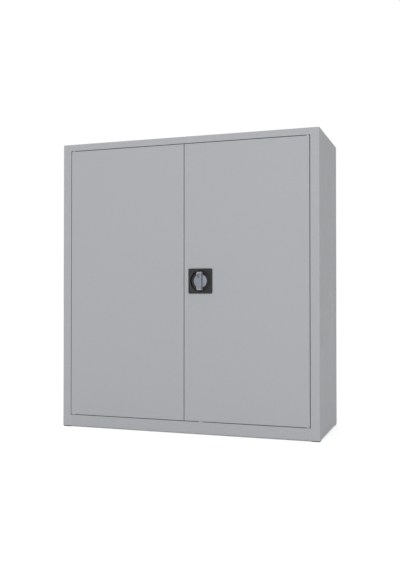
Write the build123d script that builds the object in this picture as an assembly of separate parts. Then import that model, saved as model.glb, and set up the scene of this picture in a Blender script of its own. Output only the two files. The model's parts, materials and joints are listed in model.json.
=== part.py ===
from build123d import *
import math
import os

os.makedirs("parts", exist_ok=True)

# Metal storage cabinet with two flush doors and a rotary rod lock, in millimetres.
# X runs to the viewer's right, Y from the front to the back, Z up from the floor.

# Carcass
WIDTH = 915.0
DEPTH = 350.0  # front plane to back plane, without the grip
HEIGHT = 1000.0  # floor to roof
FOOT_HEIGHT = 3.0
STILE_WIDTH = 30.0
TOP_RAIL = 23.0
BOTTOM_RAIL = 39.0
REVEAL = 24.0  # depth of the recess that the doors close into
FLOOR_STEP = 14.0  # rise from the sill to the cabinet floor
STOP_LIP = 12.0
KICK_LIP = 25.0
REAR_FLANGE = 20.0
LAP_FLANGE = 15.0
SHEET = 1.0
BACK_SHEET = 0.8
INNER_BEND = 0.6  # inside radius of every fold
WALL_HOLE_SPACING = 600.0
WALL_HOLE_DROP = 60.0
WALL_HOLE_RADIUS = 4.0
PANEL_FIT = 0.5  # room beside a panel that slides in
RETURN_GAP = 1.5  # edge of the stile return to the side wall

# Feet
FOOT_SIZE = 27.0
FOOT_INSET = 1.0
FOOT_CORNER = 3.0
FOOT_TAPER = 0.5
FOOT_PLUG_RADIUS = 4.0
FOOT_BARB = 2.0

# Doors
DOOR_GAP = 2.0
DOOR_DEPTH = 20.0
DOOR_SHEET = 1.0
DOOR_SIDE_LIP = 15.0
DOOR_END_LIP = 12.0
MITRE_SLIT = 0.8
STIFFENER_CROWN = 28.0
STIFFENER_DEPTH = 15.0
STIFFENER_FOOT = 14.0
STIFFENER_SLOPE = 3.0
STIFFENER_SHEET = 0.8

# Pin hinges
PIVOT_INSET = 7.5  # door edge to pin axis
PIVOT_SETBACK = 6.0  # front plane to pin axis
PIN_RADIUS = 3.0
PIN_REACH = 8.0  # length of pin inside the door
PIN_HEAD_RADIUS = 4.0
PIN_HEAD = 1.5
PIN_COLLAR_RADIUS = 4.0
UPPER_PIN_PLAY = 0.5  # room between the upper collar and the bush
BUSH_WALL = 1.0
BUSH_FLANGE = 1.0
BUSH_FLANGE_RADIUS = 4.5
BUSH_DEPTH = 6.0
RUNNING_FIT = 0.06  # radial room of every bearing
PRESS_ROOM = 0.05  # radial room of a seat within one body

# Buffers and glide
BUFFER_RADIUS = 4.5
BUFFER_GAP = 0.3
BUFFER_PEG_RADIUS = 1.9
BUFFER_FROM_CENTRE = 25.0
GLIDE_WIDTH = 11.0
GLIDE_LENGTH = 14.0
GLIDE_START = 1.0
GLIDE_CLEARANCE = 0.3
GLIDE_RAMP = 2.0
GLIDE_PEG_RADIUS = 2.4

# Shelf uprights, clips and shelves
UPRIGHT_DEPTH = 12.0
UPRIGHT_CROWN = 20.0
UPRIGHT_FOOT = 10.0
UPRIGHT_SHEET = 1.2
UPRIGHT_FRONT = 70.0  # front plane to the front uprights
UPRIGHT_REAR = 50.0  # back plane to the rear uprights
SLOT_PITCH = 25.0
SLOT_HEIGHT = 12.0
SLOT_WIDTH = 3.6
SLOT_MARGIN = 20.0
CLIP_THICKNESS = 3.0
CLIP_LEDGE = 12.5
CLIP_RISE = 8.0
CLIP_DROP = 8.0
CLIP_HOOK = 3.0
CLIP_HOOK_DROP = 6.0
CLIP_NOSE = 4.0
SHELF_COUNT = 2
SHELF_FOLD = 25.0
SHELF_LIP = 12.0
SHELF_SHEET = 0.9
SHELF_SETBACK = 45.0
SHELF_SIDE_GAP = 1.0
SHELF_REAR_GAP = 3.0
SHELF_STIFFENER_CROWN = 40.0

# Lock housing
LOCK_FROM_EDGE = 57.5  # meeting edge of the right door to the lock axis
LOCK_ABOVE_MIDDLE = 2.5
PLATE_SIZE = 84.0
PLATE_THICKNESS = 3.0
PLATE_CORNER = 4.0
PLATE_EDGE = 1.0
BOWL_RADIUS = 35.0
BOWL_DEPTH = 8.0  # behind the front plane
BOWL_DRAFT = 1.0
BOWL_WALL = 2.0
BOWL_FLOOR = 2.5
CUTOUT_ROOM = 0.4
POST_RADIUS = 3.5
POST_SPREAD_X = 23.5
POST_SPREAD_Z = 22.0
PLATE_SCREW_SPREAD = 34.0
SCREW_RADIUS = 1.5
SCREW_HEAD_RADIUS = 3.4
SCREW_HEAD = 2.0
COVER_WIDTH = 60.0
COVER_HEIGHT = 56.0
COVER_CORNER = 5.0
COVER_SHEET = 1.5
COVER_START = 18.0

# Rotary grip and key cylinder
GRIP_PROUD = 19.0
GRIP_WIDTH = 17.0
GRIP_LENGTH = 61.0
GRIP_CHAMFER = 5.0
GRIP_CHAMFER_DEPTH = 6.0
GRIP_EDGE = 0.6
ROTOR_RADIUS = 23.0
ROTOR_EDGE = 0.8
ROTOR_ROOM = 0.3
NECK_RADIUS = 7.0
BARREL_OFFSET = 17.0
BARREL_RADIUS = 5.0
BARREL_OVAL_LENGTH = 15.0
BARREL_OVAL_WIDTH = 11.0
BARREL_FLANGE = 2.0
BARREL_SINK = 1.5  # face of the cylinder behind the face of the grip
BARREL_EDGE = 0.4
BARREL_LENGTH = 22.0
PLUG_RADIUS = 3.6
PLUG_PROUD = 0.3
KEYWAY_LENGTH = 5.2
KEYWAY_WIDTH = 1.6
KEYWAY_DEPTH = 10.0

# Pinion drive, rods and tongue
MODULE = 1.25
TEETH = 12
PRESSURE_ANGLE = 25.0
PINION_ADDENDUM = 0.9  # shares of the module
RACK_ADDENDUM = 0.8
TOOTH_CLEARANCE = 0.3
FLANK_THINNING = 0.2
FLANK_POINTS = 5
PINION_END = 17.0
RACK_TEETH = 8
ROD_WIDTH = 9.0
ROD_THICKNESS = 4.0
ROD_START = 12.0
ROD_TIP_SINK = 0.5
ROD_TIP_TAPER = 2.0
GUIDE_CLEARANCE = 0.3
GUIDE_WALL = 2.2
GUIDE_BRIM = 2.0
STRIKE_ROOM = 2.0
STRAP_FROM_LOCK = 230.0
STRAP_LENGTH = 12.0
STRAP_FOOT = 9.0
STRAP_CLEARANCE = 1.0
SPINDLE_SIZE = 7.0
SQUARE_FIT = 0.05
SPINDLE_SOCKET = 4.0  # how far the spindle reaches in front of the front plane
TONGUE_START = 22.5
TONGUE_THICKNESS = 2.5
TONGUE_LENGTH = 70.0
TONGUE_WIDTH = 14.0
TONGUE_EYE_RADIUS = 11.0
WASHER_RADIUS = 7.0
WASHER = 1.0
END_SCREW_RADIUS = 2.0
END_SCREW_HEAD_RADIUS = 4.0
END_SCREW_HEAD = 2.5
END_SCREW_REACH = 10.0

# Places that follow from the sizes
OUTER_BEND = INNER_BEND + SHEET
FRONT = -(DEPTH - GRIP_PROUD) / 2
BACK = FRONT + DEPTH
HALF = WIDTH / 2
WALL_FACE = HALF - SHEET  # inner face of a side wall
OPENING = HALF - STILE_WIDTH  # half the width of the door opening
BASE = FOOT_HEIGHT
SILL = BASE + BOTTOM_RAIL
FLOOR = SILL + FLOOR_STEP
LINTEL = HEIGHT - TOP_RAIL
REAR_FACE = BACK - SHEET - BACK_SHEET  # inner face of the back panel
DOOR_BOTTOM = SILL + DOOR_GAP
DOOR_TOP = LINTEL - DOOR_GAP
DOOR_OUTER = OPENING - DOOR_GAP
DOOR_INNER = DOOR_GAP / 2
DOOR_REAR = FRONT + DOOR_DEPTH
PIVOT_X = DOOR_OUTER - PIVOT_INSET
PIVOT_Y = FRONT + PIVOT_SETBACK
BUSH_RADIUS = PIN_RADIUS + RUNNING_FIT + BUSH_WALL
LOCK_X = DOOR_INNER + LOCK_FROM_EDGE
LOCK_Z = (DOOR_BOTTOM + DOOR_TOP) / 2 + LOCK_ABOVE_MIDDLE
UPRIGHT_FACE = WALL_FACE - UPRIGHT_DEPTH
FLOOR_REAR = BOWL_DEPTH + BOWL_FLOOR
PINION_START = FLOOR_REAR + ROTOR_ROOM
COVER_END = COVER_START + COVER_SHEET
TONGUE_END = TONGUE_START + TONGUE_THICKNESS
PITCH_RADIUS = MODULE * TEETH / 2
PITCH = math.pi * MODULE
RACK_ROOT = PITCH_RADIUS + PINION_ADDENDUM * MODULE + TOOTH_CLEARANCE
ROD_OFFSET = RACK_ROOT + ROD_WIDTH / 2  # pinion axis to rod centre line
ROD_DEPTH = ROD_START + ROD_THICKNESS / 2
UPPER_ROD_X = LOCK_X - ROD_OFFSET
LOWER_ROD_X = LOCK_X + ROD_OFFSET


# General shapes


def block(x_from, x_to, y_from, y_to, z_from, z_to):
    corner = Pos(x_from, y_from, z_from)
    size = (x_to - x_from, y_to - y_from, z_to - z_from)
    return corner * Box(*size, align=(Align.MIN, Align.MIN, Align.MIN))


def along_x(face, x_from, x_to):
    return extrude(Plane.YZ.offset(x_from) * face, amount=x_to - x_from)


def along_y(face, y_from, y_to):
    return extrude(Plane.XZ.offset(-y_to) * face, amount=y_to - y_from)


def along_z(face, z_from, z_to):
    return extrude(Plane.XY.offset(z_from) * face, amount=z_to - z_from)


def round_along_y(radius, x, z, y_from, y_to):
    return along_y(Pos(x, z) * Circle(radius), y_from, y_to)


def round_along_z(radius, x, y, z_from, z_to):
    return along_z(Pos(x, y) * Circle(radius), z_from, z_to)


# Section of a folded sheet: the points run along one face, with the metal on their left.
def folded_section(points, sheet):
    bends = []
    for before, corner, after in zip(points, points[1:], points[2:]):
        arriving = (corner[0] - before[0], corner[1] - before[1])
        leaving = (after[0] - corner[0], after[1] - corner[1])
        turn = arriving[0] * leaving[1] - arriving[1] * leaving[0]
        bends.append(INNER_BEND + sheet if turn > 0 else INNER_BEND)
    face_line = FilletPolyline(*points, radius=bends)
    return Face(face_line.offset_2d(sheet, side=Side.LEFT))


# Hat section that stands on the line y = 0 and rises towards +y, centred on x = 0.
def hat_section(crown, depth, foot, slope, sheet):
    half = crown / 2
    points = [
        (half + slope + foot, sheet),
        (half + slope, sheet),
        (half, depth),
        (-half, depth),
        (-half - slope, sheet),
        (-half - slope - foot, sheet),
    ]
    return folded_section(points, sheet)


# Box folded from one sheet, closed at the front, with lips round its open back. The walls
# meet square at the four corners.
def folded_tray(width, height, depth, sheet, side_lip, end_lip):
    outer = Box(width, depth, height)
    outer = fillet(outer.edges().filter_by(Axis.Y, reverse=True), INNER_BEND + sheet)
    hollow = Box(width - 2 * sheet, depth - 2 * sheet, height - 2 * sheet)
    hollow = fillet(hollow.edges().filter_by(Axis.Y, reverse=True), INNER_BEND)
    window = Box(width - 2 * side_lip, 2 * sheet, height - 2 * end_lip)
    back = Pos(0, depth / 2, 0)
    tray = outer - hollow - back * window
    slit_length = 0.6 * math.hypot(side_lip, end_lip)
    tilt = math.degrees(math.atan2(end_lip, side_lip))
    for x_side in (-1, 1):
        for z_side in (-1, 1):
            corner = Pos(x_side * (width / 2 - side_lip), 0, z_side * (height / 2 - end_lip))
            slit = Box(2 * slit_length, 2 * sheet, MITRE_SLIT)
            tray -= back * corner * Rot(0, -x_side * z_side * tilt, 0) * slit
    return tray


def mirrored_pair(shape):
    return shape, mirror(shape, about=Plane.YZ)


# Carcass panels


def side_panel():
    return_face = FRONT + REVEAL + SHEET
    outline = [
        (WALL_FACE - RETURN_GAP, return_face),
        (OPENING, return_face),
        (OPENING, FRONT),
        (HALF, FRONT),
        (HALF, BACK),
        (HALF - REAR_FLANGE, BACK),
    ]
    panel = along_z(folded_section(outline, SHEET), BASE, HEIGHT)
    end_plate = Pos(HALF - STILE_WIDTH / 2, (FRONT + BACK) / 2) * Rectangle(STILE_WIDTH, DEPTH)
    wall_corners = end_plate.vertices().group_by(Axis.X)[-1]
    end_plate = fillet(wall_corners, OUTER_BEND)
    panel += along_z(end_plate, BASE, BASE + SHEET)
    panel += along_z(end_plate, HEIGHT - SHEET, HEIGHT)
    # Beside the rails the stile edge is square, so that the welded joint is flush
    for z_from, z_to in ((BASE, SILL), (LINTEL, HEIGHT)):
        panel += block(OPENING, OPENING + OUTER_BEND, FRONT, FRONT + SHEET, z_from, z_to)
    wall_ends = [
        edge
        for edge in panel.edges().filter_by(Axis.Y)
        if abs(edge.center().X - HALF) < SHEET / 2 and edge.length > DEPTH / 2
    ]
    panel = fillet(wall_ends, OUTER_BEND - SHEET / 4)
    for y in foot_rows():
        panel -= round_along_z(FOOT_PLUG_RADIUS + PRESS_ROOM, foot_x(), y, BASE, BASE + SHEET)
    return panel


def top_panel():
    outline = [
        (BACK, HEIGHT - REAR_FLANGE),
        (BACK, HEIGHT),
        (FRONT, HEIGHT),
        (FRONT, LINTEL),
        (FRONT + REVEAL, LINTEL),
        (FRONT + REVEAL, LINTEL - STOP_LIP),
    ]
    panel = along_x(folded_section(outline, SHEET), -OPENING, OPENING)
    for side in (-1, 1):
        pin_hole = PIN_RADIUS + PRESS_ROOM
        panel -= round_along_z(pin_hole, side * PIVOT_X, PIVOT_Y, LINTEL, LINTEL + SHEET)
        panel -= buffer_hole(side, upper_buffer_z())
    return panel - strike_hole(UPPER_ROD_X, LINTEL, LINTEL + SHEET)


def bottom_panel():
    outline = [
        (REAR_FACE, BASE),
        (REAR_FACE, FLOOR),
        (FRONT + REVEAL, FLOOR),
        (FRONT + REVEAL, SILL),
        (FRONT, SILL),
        (FRONT, BASE),
        (FRONT + KICK_LIP, BASE),
    ]
    panel = along_x(folded_section(outline, SHEET), -OPENING, OPENING)
    floor_outline = [
        (WALL_FACE, FLOOR - LAP_FLANGE),
        (WALL_FACE, FLOOR),
        (-WALL_FACE, FLOOR),
        (-WALL_FACE, FLOOR - LAP_FLANGE),
    ]
    floor = folded_section(floor_outline, SHEET)
    panel += along_y(floor, FRONT + REVEAL + OUTER_BEND, REAR_FACE - OUTER_BEND)
    for side in (-1, 1):
        pin_hole = PIN_RADIUS + PRESS_ROOM
        panel -= round_along_z(pin_hole, side * PIVOT_X, PIVOT_Y, SILL - SHEET, SILL)
        panel -= buffer_hole(side, lower_buffer_z())
    peg_hole = GLIDE_PEG_RADIUS + PRESS_ROOM
    panel -= round_along_z(peg_hole, LOCK_X, glide_y(), SILL - SHEET, SILL)
    return panel - strike_hole(LOWER_ROD_X, SILL - SHEET, SILL)


def back_panel():
    half = WALL_FACE - INNER_BEND
    top = HEIGHT - SHEET - INNER_BEND
    panel = block(-half, half, REAR_FACE, BACK - SHEET, BASE + SHEET, top)
    for side in (-1, 1):
        x = side * WALL_HOLE_SPACING / 2
        z = HEIGHT - WALL_HOLE_DROP
        panel -= round_along_y(WALL_HOLE_RADIUS, x, z, REAR_FACE, BACK - SHEET)
    return panel


# Slot in a rail that a rod tip shoots into
def strike_hole(x, z_from, z_to):
    width = ROD_WIDTH + 2 * STRIKE_ROOM
    length = ROD_THICKNESS + 2 * STRIKE_ROOM
    return along_z(Pos(x, FRONT + ROD_DEPTH) * Rectangle(width, length), z_from, z_to)


# Feet


def foot_x():
    return HALF - FOOT_INSET - FOOT_SIZE / 2


def foot_rows():
    setback = FOOT_INSET + FOOT_SIZE / 2
    return FRONT + setback, BACK - setback


def foot(x, y):
    pad = along_z(Pos(x, y) * RectangleRounded(FOOT_SIZE, FOOT_SIZE, FOOT_CORNER), 0, BASE)
    pad = chamfer(pad.faces().sort_by(Axis.Z)[0].edges(), FOOT_TAPER)
    plug = round_along_z(FOOT_PLUG_RADIUS, x, y, BASE, BASE + SHEET)
    tip = FOOT_PLUG_RADIUS - FOOT_BARB / 2
    barb = Pos(x, y, BASE + SHEET + FOOT_BARB / 2) * Cone(FOOT_PLUG_RADIUS + 0.5, tip, FOOT_BARB)
    return pad + plug + barb


# Uprights, shelves and their clips


def slot_heights():
    first = FLOOR + SLOT_MARGIN
    last = HEIGHT - SHEET - SLOT_MARGIN - SLOT_HEIGHT
    count = int((last - first) / SLOT_PITCH) + 1
    return [first + i * SLOT_PITCH for i in range(count)]


# The slot whose clips carry each shelf, so that the shelves share the height evenly
def shelf_slots():
    slots = slot_heights()
    bay = (HEIGHT - SHEET - FLOOR) / (SHELF_COUNT + 1)
    chosen = []
    for k in range(1, SHELF_COUNT + 1):
        wanted = FLOOR + k * bay - SHELF_FOLD - CLIP_RISE
        chosen.append(min(slots, key=lambda slot: abs(slot - wanted)))
    return chosen


def upright(y):
    hat = hat_section(UPRIGHT_CROWN, UPRIGHT_DEPTH, UPRIGHT_FOOT, 0.0, UPRIGHT_SHEET)
    strip = along_z(Pos(WALL_FACE, y) * Rot(0, 0, 90) * hat, FLOOR, HEIGHT - SHEET)
    crown_back = UPRIGHT_FACE + UPRIGHT_SHEET
    for z in slot_heights():
        y_from = y - SLOT_WIDTH / 2
        y_to = y + SLOT_WIDTH / 2
        strip -= block(UPRIGHT_FACE, crown_back, y_from, y_to, z, z + SLOT_HEIGHT)
    return strip


# Hook and ledge cut from flat bar, hung in the slot whose lower edge is at slot_z
def shelf_clip(y, slot_z):
    hook = UPRIGHT_FACE + UPRIGHT_SHEET + PRESS_ROOM
    tip = UPRIGHT_FACE - CLIP_LEDGE
    outline = [
        (tip, slot_z + CLIP_RISE),
        (hook + CLIP_HOOK, slot_z + CLIP_RISE),
        (hook + CLIP_HOOK, slot_z - CLIP_HOOK_DROP),
        (hook, slot_z - CLIP_HOOK_DROP),
        (hook, slot_z),
        (UPRIGHT_FACE, slot_z),
        (UPRIGHT_FACE, slot_z - CLIP_DROP),
        (UPRIGHT_FACE - CLIP_HOOK, slot_z - CLIP_DROP),
        (tip, slot_z + CLIP_RISE - CLIP_NOSE),
    ]
    face = make_face(Polyline(*outline, close=True))
    return along_y(face, y - CLIP_THICKNESS / 2, y + CLIP_THICKNESS / 2)


def shelf_clips(slot_z):
    clips = []
    for y in (FRONT + UPRIGHT_FRONT, BACK - UPRIGHT_REAR):
        clips.extend(mirrored_pair(shelf_clip(y, slot_z)))
    return Compound(children=clips)


def shelf_rows():
    return FRONT + SHELF_SETBACK, REAR_FACE - SHELF_REAR_GAP


def shelf(slot_z):
    y_from, y_to = shelf_rows()
    width = 2 * (UPRIGHT_FACE - SHELF_SIDE_GAP)
    tray = folded_tray(width, y_to - y_from, SHELF_FOLD, SHELF_SHEET, SHELF_LIP, SHELF_LIP)
    middle = slot_z + CLIP_RISE + SHELF_FOLD / 2
    return Pos(0, (y_from + y_to) / 2, middle) * Rot(-90, 0, 0) * tray


# Hat-shaped rib under the shelf plate, from one end fold to the other
def shelf_stiffener(slot_z):
    y_from, y_to = shelf_rows()
    under = slot_z + CLIP_RISE + SHELF_FOLD - SHELF_SHEET
    depth = SHELF_FOLD - 2 * SHELF_SHEET
    hat = hat_section(
        SHELF_STIFFENER_CROWN, depth - PANEL_FIT, STIFFENER_FOOT, STIFFENER_SLOPE, STIFFENER_SHEET
    )
    half = UPRIGHT_FACE - SHELF_SIDE_GAP - SHELF_LIP - PANEL_FIT
    return along_x(Pos((y_from + y_to) / 2, under) * Rot(0, 0, 180) * hat, -half, half)


# Doors and their pin hinges


def door_panel():
    width = DOOR_OUTER - DOOR_INNER
    height = DOOR_TOP - DOOR_BOTTOM
    tray = folded_tray(width, height, DOOR_DEPTH, DOOR_SHEET, DOOR_SIDE_LIP, DOOR_END_LIP)
    centre = ((DOOR_INNER + DOOR_OUTER) / 2, FRONT + DOOR_DEPTH / 2, (DOOR_BOTTOM + DOOR_TOP) / 2)
    panel = Pos(*centre) * tray
    hole = BUSH_RADIUS + PRESS_ROOM
    panel -= round_along_z(hole, PIVOT_X, PIVOT_Y, DOOR_BOTTOM, DOOR_BOTTOM + DOOR_SHEET)
    panel -= round_along_z(hole, PIVOT_X, PIVOT_Y, DOOR_TOP - DOOR_SHEET, DOOR_TOP)
    return panel


# The right door also takes the lock housing, its screws and the two rods
def right_door_panel():
    panel = door_panel()
    skin = (FRONT, FRONT + DOOR_SHEET)
    panel -= round_along_y(BOWL_RADIUS + BOWL_WALL + CUTOUT_ROOM, LOCK_X, LOCK_Z, *skin)
    for x, z in plate_screw_places():
        panel -= round_along_y(SCREW_RADIUS + CUTOUT_ROOM, x, z, *skin)
    for x, z_from in ((UPPER_ROD_X, DOOR_TOP - DOOR_SHEET), (LOWER_ROD_X, DOOR_BOTTOM)):
        neck = Pos(x, FRONT + ROD_DEPTH) * guide_rectangle(GUIDE_WALL + PRESS_ROOM)
        panel -= along_z(neck, z_from, z_from + DOOR_SHEET)
    return panel


def door_stiffener():
    hat = hat_section(
        STIFFENER_CROWN, STIFFENER_DEPTH, STIFFENER_FOOT, STIFFENER_SLOPE, STIFFENER_SHEET
    )
    z_from = DOOR_BOTTOM + DOOR_END_LIP + PANEL_FIT
    z_to = DOOR_TOP - DOOR_END_LIP - PANEL_FIT
    return along_z(Pos((DOOR_INNER + DOOR_OUTER) / 2, FRONT + DOOR_SHEET) * hat, z_from, z_to)


# Riveted pin; up is 1 where it stands on the sill and -1 where it hangs from the lintel
def pivot_pin(z_seat, up, collar):
    pieces = [
        (PIN_HEAD_RADIUS, -SHEET - PIN_HEAD, -SHEET),
        (PIN_RADIUS, -SHEET, DOOR_GAP + PIN_REACH),
        (PIN_COLLAR_RADIUS, 0.0, collar),
    ]
    pin = None
    for radius, low, high in pieces:
        if high > low:
            ends = sorted((z_seat + up * low, z_seat + up * high))
            piece = round_along_z(radius, PIVOT_X, PIVOT_Y, *ends)
            pin = piece if pin is None else pin + piece
    tip = pin.faces().filter_by(Plane.XY).sort_by(Axis.Z)[-1 if up > 0 else 0]
    return chamfer(tip.edges(), PIN_RADIUS / 4)


# Flanged nylon bush; up is 1 in the lower flange of the door and -1 in the upper
def pivot_bush(z_seat, up):
    flange = sorted((z_seat, z_seat - up * BUSH_FLANGE))
    body = sorted((z_seat, z_seat + up * BUSH_DEPTH))
    bush = round_along_z(BUSH_FLANGE_RADIUS, PIVOT_X, PIVOT_Y, *flange)
    bush += round_along_z(BUSH_RADIUS, PIVOT_X, PIVOT_Y, *body)
    ends = sorted((flange[0], flange[1], body[0], body[1]))
    return bush - round_along_z(PIN_RADIUS + RUNNING_FIT, PIVOT_X, PIVOT_Y, ends[0], ends[-1])


def pivot_bushes():
    return Compound(children=[pivot_bush(DOOR_BOTTOM, 1), pivot_bush(DOOR_TOP, -1)])


# Rubber buffers on the stop lips, and the glide that the right door runs up on


def lower_buffer_z():
    return SILL + (FLOOR_STEP - OUTER_BEND + INNER_BEND) / 2


def upper_buffer_z():
    return LINTEL - (STOP_LIP + INNER_BEND) / 2


def buffer_hole(side, z):
    hole = BUFFER_PEG_RADIUS + PRESS_ROOM
    lip_front = FRONT + REVEAL
    return round_along_y(hole, side * BUFFER_FROM_CENTRE, z, lip_front, lip_front + SHEET)


def door_buffers():
    buffers = []
    lip_front = FRONT + REVEAL
    for side in (-1, 1):
        x = side * BUFFER_FROM_CENTRE
        for z in (lower_buffer_z(), upper_buffer_z()):
            pad = round_along_y(BUFFER_RADIUS, x, z, DOOR_REAR + BUFFER_GAP, lip_front)
            pad = chamfer(pad.faces().sort_by(Axis.Y)[0].edges(), BUFFER_RADIUS / 5)
            pad += round_along_y(BUFFER_PEG_RADIUS, x, z, lip_front, lip_front + SHEET)
            barb = BUFFER_PEG_RADIUS * 1.4
            pad += round_along_y(barb, x, z, lip_front + SHEET, lip_front + 2 * SHEET)
            buffers.append(pad)
    return Compound(children=buffers)


def glide_y():
    return FRONT + GLIDE_START + GLIDE_LENGTH / 2


def door_glide():
    height = DOOR_GAP - GLIDE_CLEARANCE
    front = FRONT + GLIDE_START
    back = front + GLIDE_LENGTH
    outline = [
        (front, SILL),
        (front, SILL + height / 2),
        (front + GLIDE_RAMP, SILL + height),
        (back - GLIDE_RAMP, SILL + height),
        (back, SILL + height / 2),
        (back, SILL),
    ]
    face = make_face(Polyline(*outline, close=True))
    glide = along_x(face, LOCK_X - GLIDE_WIDTH / 2, LOCK_X + GLIDE_WIDTH / 2)
    glide += round_along_z(GLIDE_PEG_RADIUS, LOCK_X, glide_y(), SILL - SHEET, SILL)
    barb = GLIDE_PEG_RADIUS * 1.4
    glide += round_along_z(barb, LOCK_X, glide_y(), SILL - 2 * SHEET, SILL - SHEET)
    return glide


# Lock housing, cover and screws


def corners(spread_x, spread_z):
    return [
        (LOCK_X + x_side * spread_x, LOCK_Z + z_side * spread_z)
        for x_side in (-1, 1)
        for z_side in (-1, 1)
    ]


def plate_screw_places():
    return corners(PLATE_SCREW_SPREAD, PLATE_SCREW_SPREAD)


def cover_screw_places():
    return corners(POST_SPREAD_X, POST_SPREAD_Z)


def lock_housing():
    plate_face = Pos(LOCK_X, LOCK_Z) * RectangleRounded(PLATE_SIZE, PLATE_SIZE, PLATE_CORNER)
    housing = along_y(plate_face, FRONT - PLATE_THICKNESS, FRONT)
    housing = chamfer(housing.faces().sort_by(Axis.Y)[0].edges(), PLATE_EDGE)
    housing += round_along_y(
        BOWL_RADIUS + BOWL_WALL, LOCK_X, LOCK_Z, FRONT, FRONT + FLOOR_REAR
    )
    bowl_height = PLATE_THICKNESS + BOWL_DEPTH
    bowl = Cone(BOWL_RADIUS, BOWL_RADIUS - BOWL_DRAFT, bowl_height)
    bowl = chamfer(bowl.edges().sort_by(Axis.Z)[-1], BOWL_DRAFT)
    middle = FRONT + BOWL_DEPTH - bowl_height / 2
    housing -= Pos(LOCK_X, middle, LOCK_Z) * Rot(-90, 0, 0) * bowl
    for x, z in cover_screw_places():
        housing += round_along_y(POST_RADIUS, x, z, FRONT + FLOOR_REAR, FRONT + COVER_START)
        pilot = SCREW_RADIUS + PRESS_ROOM
        housing -= round_along_y(pilot, x, z, FRONT + ROD_START, FRONT + COVER_START)
    for x, z in plate_screw_places():
        pilot = SCREW_RADIUS + PRESS_ROOM
        housing -= round_along_y(pilot, x, z, FRONT - PLATE_THICKNESS * 0.7, FRONT)
    bearing = NECK_RADIUS + RUNNING_FIT
    return housing - round_along_y(
        bearing, LOCK_X, LOCK_Z, FRONT + BOWL_DEPTH, FRONT + FLOOR_REAR
    )


def lock_cover():
    face = Pos(LOCK_X, LOCK_Z) * RectangleRounded(COVER_WIDTH, COVER_HEIGHT, COVER_CORNER)
    cover = along_y(face, FRONT + COVER_START, FRONT + COVER_END)
    depth = (FRONT + COVER_START, FRONT + COVER_END)
    cover -= round_along_y(NECK_RADIUS + RUNNING_FIT, LOCK_X, LOCK_Z, *depth)
    for x, z in cover_screw_places():
        cover -= round_along_y(SCREW_RADIUS + PRESS_ROOM, x, z, *depth)
    return cover


# Pan-head screw driven from the back: its head sits on the plane y = seat
def pan_screw(x, z, seat, tip):
    head = round_along_y(SCREW_HEAD_RADIUS, x, z, seat, seat + SCREW_HEAD)
    head = chamfer(head.faces().sort_by(Axis.Y)[-1].edges(), SCREW_HEAD / 3)
    return head + round_along_y(SCREW_RADIUS, x, z, tip, seat)


def cover_screws():
    seat = FRONT + COVER_END
    tip = FRONT + ROD_START + PANEL_FIT
    return Compound(children=[pan_screw(x, z, seat, tip) for x, z in cover_screw_places()])


def housing_screws():
    seat = FRONT + DOOR_SHEET
    tip = FRONT - PLATE_THICKNESS * 0.6
    return Compound(children=[pan_screw(x, z, seat, tip) for x, z in plate_screw_places()])


# Grip with its rotor, turned about the lock axis


def handle_grip():
    reach = GRIP_LENGTH / 2
    nose = FRONT - GRIP_PROUD
    outline = [
        (FRONT + ROTOR_EDGE, LOCK_Z - reach),
        (nose + GRIP_CHAMFER_DEPTH, LOCK_Z - reach),
        (nose, LOCK_Z - reach + GRIP_CHAMFER),
        (nose, LOCK_Z + reach - GRIP_CHAMFER),
        (nose + GRIP_CHAMFER_DEPTH, LOCK_Z + reach),
        (FRONT + ROTOR_EDGE, LOCK_Z + reach),
    ]
    side_face = make_face(Polyline(*outline, close=True))
    bar = along_x(side_face, LOCK_X - GRIP_WIDTH / 2, LOCK_X + GRIP_WIDTH / 2)
    bar = chamfer(bar.edges(), GRIP_EDGE)
    rotor = round_along_y(
        ROTOR_RADIUS, LOCK_X, LOCK_Z, FRONT, FRONT + BOWL_DEPTH - ROTOR_ROOM
    )
    rotor = chamfer(rotor.faces().sort_by(Axis.Y)[0].edges(), ROTOR_EDGE)
    grip = bar + rotor
    grip += round_along_y(NECK_RADIUS, LOCK_X, LOCK_Z, FRONT, FRONT + PINION_START)
    barrel_z = LOCK_Z + BARREL_OFFSET
    oval_length = BARREL_OVAL_LENGTH + 2 * PRESS_ROOM
    oval = SlotOverall(oval_length, BARREL_OVAL_WIDTH + 2 * PRESS_ROOM, rotation=90)
    recess = nose + BARREL_SINK + BARREL_FLANGE
    grip -= along_y(Pos(LOCK_X, barrel_z) * oval, nose, recess)
    bore = BARREL_RADIUS + PRESS_ROOM
    grip -= round_along_y(bore, LOCK_X, barrel_z, nose, nose + BARREL_LENGTH + PANEL_FIT)
    socket = Pos(LOCK_X, LOCK_Z) * Rectangle(*square_size(SQUARE_FIT))
    return grip - along_y(socket, FRONT - SPINDLE_SOCKET, FRONT + PINION_START)


def cylinder_barrel():
    nose = FRONT - GRIP_PROUD
    z = LOCK_Z + BARREL_OFFSET
    oval = SlotOverall(BARREL_OVAL_LENGTH, BARREL_OVAL_WIDTH, rotation=90)
    face = nose + BARREL_SINK
    barrel = along_y(Pos(LOCK_X, z) * oval, face, face + BARREL_FLANGE)
    barrel = chamfer(barrel.faces().sort_by(Axis.Y)[0].edges(), BARREL_EDGE)
    barrel += round_along_y(BARREL_RADIUS, LOCK_X, z, face, nose + BARREL_LENGTH)
    bore = PLUG_RADIUS + RUNNING_FIT
    return barrel - round_along_y(bore, LOCK_X, z, face, nose + BARREL_LENGTH)


def key_plug():
    nose = FRONT - GRIP_PROUD
    z = LOCK_Z + BARREL_OFFSET
    face = nose + BARREL_SINK - PLUG_PROUD
    plug = round_along_y(PLUG_RADIUS, LOCK_X, z, face, nose + BARREL_LENGTH)
    keyway = Pos(LOCK_X, z) * Rectangle(KEYWAY_WIDTH, KEYWAY_LENGTH)
    return plug - along_y(keyway, face, face + KEYWAY_DEPTH)


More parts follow.
